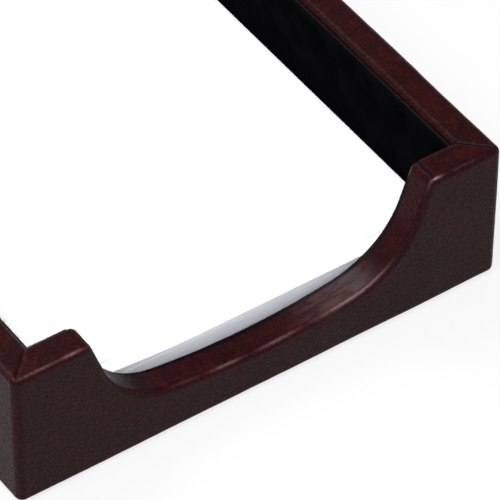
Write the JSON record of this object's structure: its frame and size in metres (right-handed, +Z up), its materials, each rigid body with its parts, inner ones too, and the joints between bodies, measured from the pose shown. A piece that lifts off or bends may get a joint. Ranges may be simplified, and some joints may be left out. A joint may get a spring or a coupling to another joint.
{
  "type": "memo sheet tray",
  "caption": "Open desk tray for memo sheets: leather-wrapped boards, mitred rim, velveteen lining and a scooped front wall for lifting the sheets out.",
  "frame": {"origin": "middle of the tray's base, on the surface it stands on", "axes": "+X to the right seen from the scooped front, +Y from the front to the back along the tray's length, +Z up"},
  "size_m": [0.12, 0.1728, 0.036],
  "materials": {
    "leather": "dark oxblood brown, smooth grain, semi-gloss with worn edges",
    "board": "plain medium-density board",
    "card": "grey bookbinder's card",
    "velveteen": "black velveteen, short nap",
    "base_cloth": "black pressed cloth",
    "paper": "matte white memo sheets",
    "steel": "bright wire"
  },
  "bodies": {
    "tray": {"base_cloth": "base_cloth", "base_infill": "card", "floor_board": "board", "floor_lining": "velveteen", "front_board": "board", "rear_board": "board", "left_board": "board", "right_board": "board", "front_brads": "steel", "rear_brads": "steel", "front_leather": "leather", "rear_leather": "leather", "left_leather": "leather", "right_leather": "leather", "scoop_leather": "leather", "left_infill": "card", "right_infill": "card", "rear_infill": "card", "front_lining": "velveteen", "rear_lining": "velveteen", "left_lining": "velveteen", "right_lining": "velveteen"},
    "memo_stack": {"memo_block": "paper"},
    "sheaf": {"memo_sheaf": "paper"},
    "top_sheets": {"top_sheets": "paper"}
  },
  "joints": [
    {"name": "memo_lift", "type": "slide", "parent": "tray", "child": "memo_stack", "axis": [0, 0, 1], "range_m": [0, 0.04]},
    {"name": "sheaf_lift", "type": "slide", "parent": "memo_stack", "child": "sheaf", "axis": [0, 0, 1], "range_m": [0, 0.03]},
    {"name": "top_sheets_lift", "type": "slide", "parent": "sheaf", "child": "top_sheets", "axis": [0, 0, 1], "range_m": [0, 0.03]}
  ]
}
